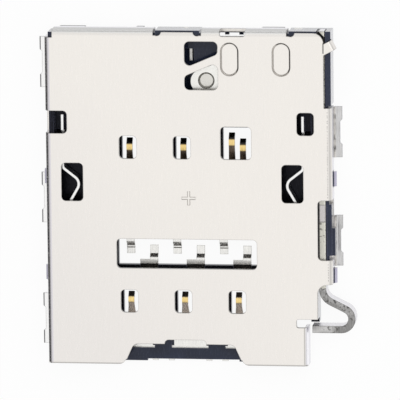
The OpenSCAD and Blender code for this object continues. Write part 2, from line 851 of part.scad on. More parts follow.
// Openings through the housing: at the contact tips, the tails, the rear and the open corner
module floor_openings() {
    for (i = [0 : 2], crest_y = [row_rear, row_front]) {
        half = beam_slot(i, crest_y) / 2;
        span(column_x(i) - half, column_x(i) + half,
            crest_y - front_beam_l, crest_y + window_l / 2 + half - slot_w / 2);
    }
    translate([tails_x + window_shift, tails_y]) square([tails_w + web, tails_l], center = true);
    span(rear_opening[0], rear_opening[1], groove_y - groove_w / 4, half_l);
    span(tray_right - corner_in - corner_under, tray_right + mouth_rail_w + corner_in,
        corner_y - corner_l - corner_under, corner_y);
}

// Shallow recesses that let the long rear beams dip to the level of their plates
module beam_recesses() {
    for (i = [0 : 2]) {
        half = beam_slot(i, row_rear) / 2;
        span(column_x(i) - half, column_x(i) + half, rear_root, row_rear);
    }
}

// Pocket for a retention spring, with a well round its anchor and a slot that grips it
module spring_pocket() {
    translate([0, 0, floor_t]) linear_extrude(shell_h)
        span(spring_x - pocket_depth, tray_left + over, pocket_front, anchor_y[0]);
    translate([0, 0, grip_z]) linear_extrude(shell_h)
        span(spring_x - pocket_depth, tray_left + over, anchor_y[0] - over, side_window[1]);
    translate([0, 0, spring_z]) linear_extrude(shell_h)
        span(spring_x - spring_t / 2, spring_x + spring_t / 2, anchor_y[0] - over, anchor_y[1]);
}

// Sill at the tray mouth and ribs between the contact roots, which stay above the floor
module sill() {
    span(tray_left, tray_right, mouth_y - over, front_root - root_l);
    for (i = [0, 1]) span(column_x(i) + root_right + web, column_x(i + 1) - root_left - web,
        mouth_y - over, front_root);
}

// Block of the detect switch, which also stops the tray
module switch_block() {
    span(terminal_x + contact_gap, bay_x, tray_stop, rear_in);
    span(terminal_x - 2 * contact_gap, bay_x, blade_y[1], rear_in);
}

// Spaces above the floor: tray channel, lever bay, rod channel, detect groove and tab notch
module housing_spaces() {
    channel = rod_t / 2 + run_gap;
    translate([0, 0, floor_t]) linear_extrude(shell_h) {
        difference() {
            union() {
                span(tray_left, tray_right, mouth_y - over, bay_y);
                span(tray_left, bay_x, bay_y - over, rear_in);
            }
            sill();
            switch_block();
        }
        span(rod_x - channel, rod_x + channel, flange_front - over, half_l);
    }
    translate([0, 0, detect_z - run_gap]) linear_extrude(shell_h)
        span(terminal_x - contact_gap, detect_x + detect_bend, groove_y - groove_w / 2, rear_in);
    translate([0, 0, sill_z]) linear_extrude(shell_h) span(tray_left, tray_right, mouth_y - over, 0);
    translate([0, 0, switch_z]) linear_extrude(shell_h) span(tray_left, bay_x, tray_stop - over, rear_in);
    translate([0, 0, deck_z]) linear_extrude(shell_h) span(bay_x - over, rod_x, bay_y, rear_in);
    room = tab_w / 2 + run_gap;
    at_tab(under_z - tab_room) linear_extrude(over) span(tab_run, tab_run + over, -room, room);
}

// Low lip across the rear opening, with two nubs
module rear_lip() {
    translate([rear_opening[0] - lead, in_y - lip[0], 0])
        cube([rear_opening[1] - rear_opening[0] + 2 * lead, lip[0], lip[1]]);
    for (x = nub_x) translate([x - nub_w / 2, in_y - 2 * lip[0], 0]) cube([nub_w, 2 * lip[0], lip[1]]);
}

module housing() color([0.18, 0.2, 0.26]) {
    difference() {
        union() {
            linear_extrude(shoulder_z) housing_outline();
            linear_extrude(under_z) housing_top();
            housing_fillers();
            catch_lugs();
        }
        housing_spaces();
        translate([0, 0, -over]) linear_extrude(shell_h + 2 * over) floor_openings();
        spring_pocket();
        mirror_on_card() spring_pocket();
        translate([0, 0, plate_z]) {
            linear_extrude(shell_h) {
                for (i = [0 : 2]) rear_plate(i);
                for (i = [0 : 2]) front_plate(i);
                beam_recesses();
            }
            linear_extrude(strip_t) for (i = [0 : 2]) lead_frame_stubs(i);
        }
        detect_terminal();
        detect_spring();
    }
    rear_lip();
    translate([pivot_x, pivot_y, 0]) cylinder(d = post_d, h = under_z);
}

shell();
housing();
contact_rear_left();
contact_rear_middle();
contact_rear_right();
contact_front_left();
contact_front_middle();
contact_front_right();
retention_spring_left();
retention_spring_right();
push_rod();
eject_lever();
detect_terminal();
detect_spring();
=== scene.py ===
"""Looks of the tray socket: camera, studio, a finish for each material and the marks of the folding die."""
import json
import math

import bpy
from mathutils import Matrix, Vector


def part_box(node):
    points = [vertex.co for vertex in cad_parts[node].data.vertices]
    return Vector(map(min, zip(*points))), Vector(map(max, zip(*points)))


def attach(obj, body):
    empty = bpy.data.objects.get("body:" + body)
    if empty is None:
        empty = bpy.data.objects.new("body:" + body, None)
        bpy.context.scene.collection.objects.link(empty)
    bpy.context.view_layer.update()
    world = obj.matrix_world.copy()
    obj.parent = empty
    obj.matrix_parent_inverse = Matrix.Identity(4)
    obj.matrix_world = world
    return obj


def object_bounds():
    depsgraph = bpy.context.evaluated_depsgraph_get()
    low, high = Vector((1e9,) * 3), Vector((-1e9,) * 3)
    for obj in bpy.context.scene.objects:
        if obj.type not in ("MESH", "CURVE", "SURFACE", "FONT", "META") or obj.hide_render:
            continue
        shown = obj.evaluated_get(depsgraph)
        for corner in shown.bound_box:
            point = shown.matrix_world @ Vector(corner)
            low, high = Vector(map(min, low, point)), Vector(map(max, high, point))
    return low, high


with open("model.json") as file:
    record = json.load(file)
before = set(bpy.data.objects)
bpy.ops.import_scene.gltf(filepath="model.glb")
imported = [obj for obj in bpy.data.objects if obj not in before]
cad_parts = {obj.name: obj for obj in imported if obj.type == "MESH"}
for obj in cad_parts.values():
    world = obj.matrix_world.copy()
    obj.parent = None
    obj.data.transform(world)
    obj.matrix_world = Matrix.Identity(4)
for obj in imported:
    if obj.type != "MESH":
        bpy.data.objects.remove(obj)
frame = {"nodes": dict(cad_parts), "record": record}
cad_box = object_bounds()

# Millimetres in metres
MM = 0.001

# Camera: width of the picture, the point in its middle, the way it leans, and its long lens
FIELD = 18.66 * MM
AIM = Vector((0.535, -0.072, 1.35)) * MM
LEAN = Vector((0.13, 0.175, 1.0))
LENS_MM = 600.0
SENSOR_MM = 36.0

# Floor: its size and its drop below the socket in metres, its grey, and the share of plain white seen on it
FLOOR_SIZE = 0.6
FLOOR_DROP = 0.002 * MM
FLOOR_GREY = (0.92, 0.92, 0.92, 1)
FLOOR_WHITE = 0.93

# Studio: heights where the ceiling starts and is full, X where the horizon is darkest and brightest, and
# how bright it is there
CEILING = (0.1, 0.95)
HORIZON = (-0.7, 0.3)
HORIZON_LIGHT = (0.02, 0.62)

# Soft lamp: size in metres, power in watts and place
LAMP_SIZE = 0.08
LAMP_POWER = 0.03
LAMP_PLACE = (0.06, 0.08, 0.12)

# Shell: its faces and its sheet, in millimetres as all places and sizes below are
SHELL_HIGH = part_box("shell")[1] / MM
SHELL_TOP = SHELL_HIGH.z
REAR_Y = SHELL_HIGH.y
FRONT_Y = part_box("shell")[0].y / MM
SHEET = 0.15

# Shell: how far its feet reach out, and where its side walls and folds lie
FOOT_REACH = 0.38
SIDE_X = SHELL_HIGH.x - FOOT_REACH
FOLD_R = 0.25
FOLD_X = SIDE_X - FOLD_R
FOLD_Z = SHELL_TOP - FOLD_R
REAR_FOLD_Y = REAR_Y - FOLD_R
FRONT_FOLD_X = 5.43
FRONT_FOLD_Y = -6.05

# Small distances by which a finish reaches past the face that it is for
SLACK = 0.02
HAIR = 0.01

# Widths of the step from one finish to the next
CRISP = 0.01
FINE = 0.02
MILD = 0.05
SOFT = 0.1
BROAD = 0.2

# Tilt, 1 on a level face and 0 on an upright one, under which a side of the housing or lever is steep
STEEP_TILT = 0.3

# Span in the middle of a noise, where most of its values lie
NOISE_LOW = 0.3
NOISE_HIGH = 0.7

# Edge lines: rays that look for a sharp edge, and the cosine of the turn where a line starts
EDGE_SAMPLES = 8
EDGE_TURN = 0.94


class Finish:
    """A procedural material, built node by node, with places in millimetres of the socket's own frame."""

    def __init__(self, name, metallic, roughness):
        self.material = bpy.data.materials.new(name)
        self.material.use_nodes = True
        self.tree = self.material.node_tree
        self.shader = self.tree.nodes["Principled BSDF"]
        self.shader.inputs["Metallic"].default_value = metallic
        self.shader.inputs["Roughness"].default_value = roughness
        scale = self.add("ShaderNodeVectorMath", operation="SCALE")
        scale.inputs["Scale"].default_value = 1 / MM
        self.feed(scale.inputs[0], self.add("ShaderNodeTexCoord").outputs["Object"])
        self.place = scale.outputs[0]
        self.x, self.y, self.z = self.parts(self.place)
        self.normal = self.add("ShaderNodeNewGeometry").outputs["Normal"]
        self.facing_x, self.facing_y, self.facing_z = self.parts(self.normal)
        self.colour = None

    def add(self, kind, **settings):
        """New node of that kind."""
        node = self.tree.nodes.new(kind)
        for key, value in settings.items():
            setattr(node, key, value)
        return node

    def feed(self, socket, value):
        """Links a socket, or writes a plain value to it."""
        if isinstance(value, bpy.types.NodeSocket):
            self.tree.links.new(value, socket)
        elif isinstance(value, tuple) and len(value) == 3 and socket.type == "RGBA":
            socket.default_value = (*value, 1)
        else:
            socket.default_value = value

    def parts(self, vector):
        """X, Y and Z of a vector."""
        node = self.add("ShaderNodeSeparateXYZ")
        self.feed(node.inputs[0], vector)
        return node.outputs

    def math(self, operation, first, second=0.0):
        """One step of arithmetic."""
        node = self.add("ShaderNodeMath", operation=operation)
        self.feed(node.inputs[0], first)
        self.feed(node.inputs[1], second)
        return node.outputs[0]

    def size(self, value):
        """A value without its sign."""
        return self.math("ABSOLUTE", value)

    def tilt(self):
        """1 on a level face, 0 on an upright one."""
        return self.size(self.facing_z)

    def above(self, value, level, soft=FINE):
        """1 where the value is over the level, 0 below, with a soft step of that width."""
        node = self.add("ShaderNodeMapRange", interpolation_type="SMOOTHSTEP")
        self.feed(node.inputs["Value"], value)
        node.inputs["From Min"].default_value = level - soft / 2
        node.inputs["From Max"].default_value = level + soft / 2
        return node.outputs["Result"]

    def other(self, mask):
        """The rest of a mask."""
        return self.math("SUBTRACT", 1.0, mask)

    def below(self, value, level, soft=FINE):
        """1 where the value is under the level."""
        return self.other(self.above(value, level, soft))

    def both(self, first, *others):
        """Product of masks or weights."""
        for mask in others:
            first = self.math("MULTIPLY", first, mask)
        return first

    def between(self, value, low, high, soft=FINE):
        """1 where the value lies from low to high."""
        return self.both(self.above(value, low, soft), self.below(value, high, soft))

    def near(self, value, middle, half, soft=FINE):
        """1 where the value lies within half of the middle."""
        return self.below(self.size(self.math("SUBTRACT", value, middle)), half, soft)

    def without(self, mask, cut):
        """A mask less another one."""
        return self.math("SUBTRACT", mask, self.both(mask, cut))

    def edges(self, radius):
        """1 on a line along every sharp edge, about half that radius wide."""
        rounded = self.add("ShaderNodeBevel", samples=EDGE_SAMPLES)
        rounded.inputs["Radius"].default_value = radius * MM
        turn = self.add("ShaderNodeVectorMath", operation="DOT_PRODUCT")
        self.feed(turn.inputs[0], rounded.outputs[0])
        self.feed(turn.inputs[1], self.normal)
        return self.below(turn.outputs["Value"], EDGE_TURN, soft=0.06)

    def grain(self, size, detail=2.0, rough=0.5):
        """Noise with grains of that size along X, Y and Z."""
        stretch = self.add("ShaderNodeVectorMath", operation="DIVIDE")
        self.feed(stretch.inputs[0], self.place)
        stretch.inputs[1].default_value = size
        noise = self.add("ShaderNodeTexNoise")
        self.feed(noise.inputs["Vector"], stretch.outputs[0])
        noise.inputs["Scale"].default_value = 1.0
        noise.inputs["Detail"].default_value = detail
        noise.inputs["Roughness"].default_value = rough
        return noise.outputs["Fac"]

    def ramp(self, value, low=0.0, high=1.0, start=NOISE_LOW, stop=NOISE_HIGH):
        """Goes from low to high as the value goes from start to stop, which is the middle of a noise."""
        node = self.add("ShaderNodeMapRange")
        self.feed(node.inputs["Value"], value)
        node.inputs["From Min"].default_value = start
        node.inputs["From Max"].default_value = stop
        node.inputs["To Min"].default_value = low
        node.inputs["To Max"].default_value = high
        return node.outputs["Result"]

    def weigh(self, mask, off, on):
        """One weight off a mask and another one on it."""
        return self.ramp(mask, off, on, start=0.0, stop=1.0)

    def mix(self, share, first, second):
        """First colour, with a share of the second."""
        node = self.add("ShaderNodeMix", data_type="RGBA")
        self.feed(node.inputs[0], share)
        self.feed(node.inputs[6], first)
        self.feed(node.inputs[7], second)
        return node.outputs[2]

    def layer(self, mask, colour, share=None):
        """Lays a colour, or a share of it, over what is there."""
        if share is not None:
            mask = self.both(mask, share)
        self.colour = self.mix(mask, self.colour, colour)

    def paint(self, roughness, relief=None, depth=0.0, strength=0.0):
        """Joins the colour, the roughness and, if given, a relief of that depth."""
        self.feed(self.shader.inputs["Base Color"], self.colour)
        self.feed(self.shader.inputs["Roughness"], roughness)
        if relief is not None:
            bump = self.add("ShaderNodeBump")
            bump.inputs["Strength"].default_value = strength
            bump.inputs["Distance"].default_value = depth * MM
            self.feed(bump.inputs["Height"], relief)
            self.feed(self.shader.inputs["Normal"], bump.outputs[0])
        return self.material


# Cover plate: X plus Y where it starts to dull and where it is dullest, at the front left corner, depth of
# the dimples, and half the cross in its middle with the strength of dark lines there
DULL_FROM = 1.0
DULL_TO = -11.0
DIMPLE = 0.1
CROSS_HALF = 0.5
CROSS_SHARE = 0.4

# Bent tab at the rear right corner, with the crease beside it, and the lip of the plate's front edge
TAB_X = 6.36
TAB_Y = 7.12
TAB_HALF = 0.25
CREASE_HALF = 0.03
LIP = 0.06

# Rear wall: heights where its painted shade starts and where the painted shadow along the foot of its tabs
# ends
REAR_SHADE_FROM = 0.65
TAB_SHADOW_TOP = 0.22

# Feet: their height and the width of a rim of painted shadow. Left fold: how far its finish goes below the
# bend
FOOT_LEVEL = 0.34
FOOT_RIM = 0.05
LEFT_FOLD_DROP = 0.06

# Tilts at which the shell's finish changes: level, bent, cut and wall faces, feet and folds. The rod and the
# lever share those of cut and bent faces
LEVEL_TILT = 0.97
BENT_TILT = 0.95
CUT_TILT = 0.5
WALL_TILT = 0.2
FOOT_TILT = 0.85
FOOT_BEND = (0.15, 0.92)
LEFT_FOLD_TILT = 0.82
REAR_STEEP_TILT = 0.6
REAR_LEVEL_TILT = 0.9

# Dimples: X plus Y of the way a side faces, under which it gets painted shade
SHADED_SLOPE = -0.2

# Shell colours: cover plate
PLATE_BRIGHT = (0.897, 0.862, 0.814)
PLATE_CLOUD = (0.885, 0.850, 0.808)
PLATE_DULL = (0.842, 0.810, 0.780)
PLATE_ROLLED = (0.81, 0.778, 0.745)

# Shell colours: folds and walls, painted shade and painted highlights
FOLD_SHADE_GREY = (0.56, 0.555, 0.55)
FRONT_FOLD_HIGHLIGHT = (0.97, 0.96, 1.0)
WALL_HIGHLIGHT = (0.84, 0.83, 0.87)
REAR_FOLD_SHADE = (0.60, 0.60, 0.595)
REAR_FOLD_HIGHLIGHT = (0.97, 0.965, 0.95)
REAR_FOLD_LEVEL_SHADE = (0.79, 0.765, 0.73)
REAR_WALL_SHADE = (0.50, 0.50, 0.495)
TAB_SHADOW = (0.12, 0.12, 0.125)
LEFT_FOLD_HIGHLIGHT = (0.76, 0.735, 0.76)
LEFT_FOLD_SHADE = (0.02, 0.02, 0.023)

# Shell colours: feet
FOOT_PALE = (0.72, 0.715, 0.71)
FOOT_STREAK = (0.54, 0.535, 0.53)
FOOT_LEFT_HIGHLIGHT = (0.95, 0.945, 0.94)
FOOT_RIM_SHADOW = (0.10, 0.10, 0.105)
FOOT_BEND_SHADE = (0.07, 0.07, 0.075)

# Shell colours: painted shade lines, cut edges and the front lip
BRIM_SHADE = (0.22, 0.215, 0.21)
SHEARED_STEEL_AND_SHADE = (0.16, 0.155, 0.15)
CREASE_SHADE = (0.12, 0.118, 0.11)
LIP_GREY = (0.56, 0.54, 0.52)
EDGE_SHADE = (0.28, 0.272, 0.265)
DIMPLE_SIDE_SHADE = (0.05, 0.045, 0.042)


class ShellFinish(Finish):
    """Bright plated steel: satin plate with a fine rolled grain, pressed edges and streaked grey feet, with
    painted light and shade on its folds, walls, edges and dimples.
    """

    def __init__(self):
        super().__init__("shell_plating", metallic=1.0, roughness=0.3)
        self.level = self.tilt()
        self.out_x = self.size(self.x)
        self.rolled = self.grain((0.02, 0.5, 0.02), detail=3.0)
        cross = self.below(self.math("MAXIMUM", self.out_x, self.size(self.y)), CROSS_HALF)
        self.clear = self.weigh(cross, off=1.0, on=CROSS_SHARE)
        right = self.above(self.x, FRONT_FOLD_X, CRISP)
        self.front_fold = self.both(right, self.below(self.y, FRONT_FOLD_Y, CRISP))
        plate = self.both(self.below(self.out_x, FOLD_X, CRISP), self.below(self.y, REAR_FOLD_Y, CRISP))
        self.inside = self.without(plate, self.front_fold)
        self.in_sheet = self.both(self.inside, self.above(self.z, SHELL_TOP - SHEET - SLACK, CRISP))
        self.pressed = self.both(self.below(self.level, LEVEL_TILT, soft=0.04), self.in_sheet)

    def plate(self):
        """Satin plate, duller towards the front left corner, with fine lines from the rolls."""
        cloud = self.ramp(self.grain((3.0, 4.0, 3.0)))
        self.colour = self.mix(cloud, PLATE_BRIGHT, PLATE_CLOUD)
        corner = self.math("ADD", self.x, self.y)
        self.layer(self.ramp(corner, start=DULL_FROM, stop=DULL_TO), PLATE_DULL)
        self.layer(self.ramp(self.rolled, high=0.1), PLATE_ROLLED)

    def folds(self):
        """Folds greyed with painted shade, and a painted pale highlight on the fold beside the mouth."""
        outer = self.both(self.other(self.inside), self.above(self.z, FOLD_Z - SLACK))
        bent = self.below(self.level, BENT_TILT, soft=0.12)
        bent = self.both(outer, bent, self.above(self.level, WALL_TILT, BROAD))
        # Painted shade: the bends are greyed where they turn away from the bright ceiling
        self.layer(bent, FOLD_SHADE_GREY, share=0.25)
        rounded = self.below(self.level, LEVEL_TILT, soft=0.06)
        # Painted highlight: the rounded fold beside the mouth is painted pale
        self.layer(self.both(self.front_fold, rounded), FRONT_FOLD_HIGHLIGHT)

    def cut_edges(self):
        """Lines of painted shade at the brim and the foot of the dimples, and sheared sides of the windows
        dark with cut steel and painted shade.
        """
        middle = self.near(self.z, SHELL_TOP - DIMPLE / 2, DIMPLE / 4)
        # Painted shade: dark lines where the dimple walls meet the plate and the dimple floor
        self.layer(self.both(self.pressed, self.other(middle), self.clear), BRIM_SHADE, share=0.5)
        # Partly the dull cut steel, partly painted shade on the windows' sheared sides
        sheared = self.both(self.below(self.level, CUT_TILT, BROAD), self.in_sheet)
        self.layer(self.both(sheared, self.clear), SHEARED_STEEL_AND_SHADE)

    def walls(self):
        """Walls painted pale as lit, a rear fold with painted light and shade by its tilt, and a rear wall
        with painted shade towards its fold and painted shadow along the foot of its tabs.
        """
        wall = self.both(self.below(self.level, WALL_TILT, BROAD), self.below(self.z, FOLD_Z))
        # Painted highlight: the walls are painted pale as lit by the bright studio
        self.layer(wall, WALL_HIGHLIGHT)
        rear = self.above(self.y, REAR_FOLD_Y, SOFT)
        # Painted light and shade: the rear fold is grey where steep, bright in the middle and darker where
        # nearly level
        bend = self.mix(self.above(self.level, REAR_STEEP_TILT, soft=0.3), REAR_FOLD_SHADE, REAR_FOLD_HIGHLIGHT)
        bend = self.mix(self.above(self.level, REAR_LEVEL_TILT, SOFT), bend, REAR_FOLD_LEVEL_SHADE)
        self.layer(self.both(rear, self.above(self.z, FOLD_Z, SOFT)), bend)
        # Painted shade on the rear wall under the overhanging plate
        self.layer(self.both(rear, wall, self.above(self.z, REAR_SHADE_FROM, soft=0.3)), REAR_WALL_SHADE)
        # Painted shadow where the rear tabs meet the board
        self.layer(self.both(rear, self.below(self.z, TAB_SHADOW_TOP, MILD)), TAB_SHADOW)

    def feet(self):
        """Streaked grey feet, painted paler on the left as lit and with a rim of painted shadow there, and
        with uneven painted shade in their bends.
        """
        outside = self.both(self.above(self.out_x, SIDE_X - HAIR, CRISP), self.below(self.z, FOOT_LEVEL))
        streak = self.ramp(self.grain((0.03, 0.7, 0.05)))
        # Painted highlight: the left feet are painted paler than the right ones
        left = self.below(self.x, 0.0, SOFT)
        foot = self.mix(left, self.mix(streak, FOOT_PALE, FOOT_STREAK), FOOT_LEFT_HIGHLIGHT)
        rim = self.above(self.out_x, SHELL_HIGH.x - FOOT_RIM)
        # Painted shadow along the outer rim of the left feet
        foot = self.mix(self.both(left, rim), foot, FOOT_RIM_SHADOW)
        self.layer(self.both(outside, self.above(self.level, FOOT_TILT, SOFT)), foot)
        # Painted shade, uneven, in the bends of the feet where they meet the walls
        uneven_shade = self.ramp(self.grain((0.2, 0.35, 0.2)), low=-0.3, high=0.8)
        self.layer(self.both(outside, self.between(self.level, *FOOT_BEND, SOFT), uneven_shade), FOOT_BEND_SHADE)

    def left_fold(self):
        """Left fold: a painted lilac highlight on its upper part, and uneven painted black shade below."""
        fold = self.both(
            self.below(self.x, -FOLD_X, CRISP), self.above(self.z, FOLD_Z - LEFT_FOLD_DROP, soft=0.04))
        upper = self.above(self.level, LEFT_FOLD_TILT, SOFT)
        # Painted highlight: a lilac reflection on the upper part of the left fold
        self.layer(self.both(fold, upper), LEFT_FOLD_HIGHLIGHT)
        uneven = self.ramp(self.grain((0.1, 0.09, 0.1)), low=0.7)
        # Painted shade: the dark reflection along the lower part of the left fold
        self.layer(self.both(fold, self.other(upper), uneven), LEFT_FOLD_SHADE)

    def outlines(self):
        """Painted shade in the crease beside the bent tab, grey front lip, thin edge lines of painted shade,
        and painted shade on the dimple sides that face left and front.
        """
        crease = self.both(self.near(self.x, TAB_X, CREASE_HALF), self.near(self.y, TAB_Y, TAB_HALF, MILD))
        crease = self.both(crease, self.above(self.z, SHELL_TOP - HAIR, CRISP))
        # Painted shade in the crease beside the bent tab
        self.layer(crease, CREASE_SHADE, share=0.85)
        lip = self.below(self.y, FRONT_Y + LIP, soft=0.03)
        self.layer(self.both(lip, self.above(self.z, SHELL_TOP - SHEET, CRISP)), LIP_GREY)
        strength = self.weigh(self.pressed, off=0.6, on=0.25)
        # Painted shade: dark lines along every sharp edge
        self.layer(self.both(self.edges(radius=0.07), self.clear, strength), EDGE_SHADE)
        slope = self.math("ADD", self.facing_x, self.facing_y)
        # Painted shade on the dimple sides that face left and front
        shaded_side = self.both(self.pressed, self.below(slope, SHADED_SLOPE, soft=0.4))
        self.layer(self.both(shaded_side, self.clear), DIMPLE_SIDE_SHADE, share=0.9)


def shell_finish():
    """All layers of the shell, from the plate to the lines on its edges."""
    f = ShellFinish()
    f.plate()
    f.folds()
    f.cut_edges()
    f.walls()
    f.feet()
    f.left_fold()
    f.outlines()
    return f.paint(f.ramp(f.rolled, low=0.26, high=0.36), relief=f.rolled, depth=0.0006, strength=0.14)


# Housing: deep pockets behind the sill that get painted shade, top of the catch lugs that get a painted
# highlight, and the rod's guard between them
DEEP_LEFT = -6.55
DEEP_RIGHT = 6.0
DEEP_FRONT = -6.0
DEEP_REAR = 5.0
LUG_TOP = 0.75
LUG_PROUD = 0.008
GUARD_Y = -2.0
GUARD_HALF = 0.9

# Housing: how much less rough its steep sides are
SIDE_POLISH = 0.2

# Housing: gloss that is the same all over
HOUSING_GLOSS = {
    "Specular IOR Level": 0.2,
    "Specular Tint": (0.84, 0.84, 1.0),
    "Coat Roughness": 0.03,
    "Coat IOR": 1.3,
    "Sheen Weight": 0.45,
    "Sheen Roughness": 0.15,
    "Sheen Tint": (0.80, 0.79, 1.0),
}

# Housing colours
NAVY_DARK = (0.008, 0.013, 0.030)
NAVY = (0.015, 0.023, 0.050)
POCKET_SHADE = (0.001, 0.0012, 0.002)
FIBRE_GREY = (0.10, 0.11, 0.15)
NAVY_EDGE_HIGHLIGHT = (0.09, 0.095, 0.15)
LUG_HIGHLIGHT = (0.56, 0.54, 0.66)
LUG_HIGHLIGHT_DIM = (0.46, 0.44, 0.56)


def housing_finish():
    """Dark navy moulded plastic with a fine eroded grain, short glass fibres and a pale sheen, with painted
    shade in its deep pockets and painted highlights on its edges and catch lugs.
    """
    f = Finish("housing_moulding", metallic=0.0, roughness=0.3)
    for name, value in HOUSING_GLOSS.items():
        f.feed(f.shader.inputs[name], value)
    cloud = f.ramp(f.grain((0.8, 0.8, 0.8)))
    eroded = f.grain((0.03, 0.03, 0.03), detail=3.0, rough=0.6)
    f.colour = f.mix(cloud, NAVY_DARK, NAVY)
    deep = f.both(f.between(f.y, DEEP_FRONT, DEEP_REAR, SOFT), f.between(f.x, DEEP_LEFT, DEEP_RIGHT, MILD))
    # Painted shade: the deep pockets are painted black
    f.layer(deep, POCKET_SHADE)
    f.feed(f.shader.inputs["Coat Weight"], f.other(deep))
    fibre = f.above(f.grain((0.015, 0.22, 0.03), detail=1.0), level=0.66, soft=0.06)
    f.layer(fibre, FIBRE_GREY, share=0.35)
    # Painted highlight: pale lines along every sharp edge
    f.layer(f.edges(radius=0.06), NAVY_EDGE_HIGHLIGHT, share=0.5)
    lug = f.both(f.above(f.size(f.x), SIDE_X + LUG_PROUD, CRISP), f.below(f.z, LUG_TOP))
    lug = f.without(lug, f.near(f.y, GUARD_Y, GUARD_HALF))
    # Painted highlight: the outer faces of the catch lugs are painted pale as lit
    f.layer(lug, f.mix(cloud, LUG_HIGHLIGHT, LUG_HIGHLIGHT_DIM))
    smooth = f.below(f.tilt(), STEEP_TILT, BROAD)
    roughness = f.math("SUBTRACT", f.ramp(eroded, low=0.24, high=0.42), f.both(smooth, SIDE_POLISH))
    return f.paint(roughness, relief=eroded, depth=0.0012, strength=0.3)


# Contacts: Y between the two rows, the gold crests of each row and their half length, the level of the flat
# plates, the height over which a beam is raised, and how level a crest's gold part is
ROWS_PART = -1.5
ROW_REAR = 2.31
ROW_FRONT = -4.93
CREST_HALF = 0.135
PLATE_LEVEL = 0.34
RAISED = 0.5
CREST_TILT = 0.6

# Contacts: the long tine of the fork, and how much further its crest lies
TINE_LOW = 1.7
TINE_HIGH = 2.2
TINE_EXTRA = 0.26

# Contacts: bends at the front of the long window, which get painted shade, and the step across the rear
# tails, which gets a line of painted shade, with their pitch and the share of it that a tail may take
LEAD_FRONT = -3.5
LEAD_REAR = -2.85
LEAD_SHADE_END = -3.3
STEP_Y = -2.56
STEP_HALF = 0.025
TAIL_X = -3.35
TAIL_PITCH = 2.18
TAIL_SHARE = 0.5

# Contact colours: plating, the lines drawn in it, and painted shade
TIN = (0.94, 0.93, 0.89)
TIN_LINE = (0.78, 0.77, 0.75)
GOLD = (0.96, 0.76, 0.36)
GOLD_LINE = (0.80, 0.56, 0.20)
BEAM_SHADE = (0.16, 0.12, 0.085)
BEAM_SHADE_LINE = (0.07, 0.055, 0.045)
TAN = (0.95, 0.87, 0.80)
TAN_LINE = (0.74, 0.66, 0.60)
LEAD_SHADE = (0.05, 0.048, 0.046)
STEP_SHADE = (0.10, 0.095, 0.085)
CONTACT_EDGE_SHADE = (0.22, 0.21, 0.19)
TIP_SHADE = (0.045, 0.038, 0.034)


def contact_finish():
    """Bronze strip: gold only on the crests, tan front beams, rear beams dark brown with painted shade,
    bright tin on the plates and tails, and painted shade on the leads, steps, edges and tips.
    """
    f = Finish("contact_plating", metallic=1.0, roughness=0.26)
    drawn = f.grain((0.012, 0.3, 0.05))
    lines = f.ramp(drawn)
    tin = f.mix(lines, TIN, TIN_LINE)
    rear = f.above(f.y, ROWS_PART, BROAD)
    # Painted shade: the rear beams under the plate are painted dark brown
    beam = f.mix(rear, f.mix(lines, TAN, TAN_LINE), f.mix(lines, BEAM_SHADE, BEAM_SHADE_LINE))
    f.colour = f.mix(f.above(f.z, PLATE_LEVEL, soft=0.06), tin, beam)
    # Painted shade on the leads at the front edge of the long window
    lead = f.mix(f.above(f.y, LEAD_SHADE_END, soft=0.04), LEAD_SHADE, tin)
    f.layer(f.between(f.y, LEAD_FRONT, LEAD_REAR), lead)
    turn = f.math("FRACT", f.math("DIVIDE", f.math("SUBTRACT", f.x, TAIL_X), TAIL_PITCH))
    tail = f.both(f.below(turn, TAIL_SHARE, SOFT), f.below(f.z, PLATE_LEVEL, soft=0.06))
    # Painted shade: a dark line across the step of the rear tails
    f.layer(f.both(f.near(f.y, STEP_Y, STEP_HALF), tail), STEP_SHADE)
    # Painted shade: dark lines along every sharp edge
    f.layer(f.edges(radius=0.05), CONTACT_EDGE_SHADE, share=0.6)
    past = f.math("SUBTRACT", f.math("SUBTRACT", f.y, ROW_FRONT), f.both(rear, ROW_REAR - ROW_FRONT))
    long_tine = f.both(rear, f.between(f.x, TINE_LOW, TINE_HIGH))
    past = f.math("SUBTRACT", past, f.both(long_tine, TINE_EXTRA))
    raised = f.above(f.z, RAISED, SOFT)
    # Painted shade on the tips past the crests
    f.layer(f.both(raised, f.above(past, CREST_HALF, soft=0.06)), TIP_SHADE)
    crest = f.both(raised, f.below(f.size(past), CREST_HALF, soft=0.08))
    f.layer(f.both(crest, f.above(f.facing_z, CREST_TILT, BROAD)), f.mix(lines, GOLD, GOLD_LINE))
    return f.paint(f.ramp(drawn, low=0.2, high=0.36), relief=drawn, depth=0.0006, strength=0.4)


# Springs: tilt over which a face is a cut edge
SPRING_CUT_TILT = 0.7

# Spring colours: strip, the lines drawn in it, its cut edges and their outlines of painted shade
SPRING_BRIGHT = (0.90, 0.90, 0.90)
SPRING_LINE = (0.78, 0.78, 0.80)
SPRING_CUT = (0.92, 0.915, 0.90)
SPRING_EDGE_SHADE = (0.20, 0.20, 0.22)


def spring_finish():
    """Bright spring strip with a drawn grain along its length, warmer cut edges and edge lines of painted
    shade.
    """
    f = Finish("spring_strip", metallic=1.0, roughness=0.24)
    drawn = f.grain((0.3, 0.3, 0.02), detail=3.0)
    f.colour = f.mix(f.ramp(drawn), SPRING_BRIGHT, SPRING_LINE)
    f.layer(f.above(f.tilt(), SPRING_CUT_TILT, BROAD), SPRING_CUT)
    # Painted shade: dark lines along every sharp edge
    f.layer(f.edges(radius=0.05), SPRING_EDGE_SHADE, share=0.6)
    return f.paint(f.ramp(drawn, low=0.18, high=0.32), relief=drawn, depth=0.0006, strength=0.4)


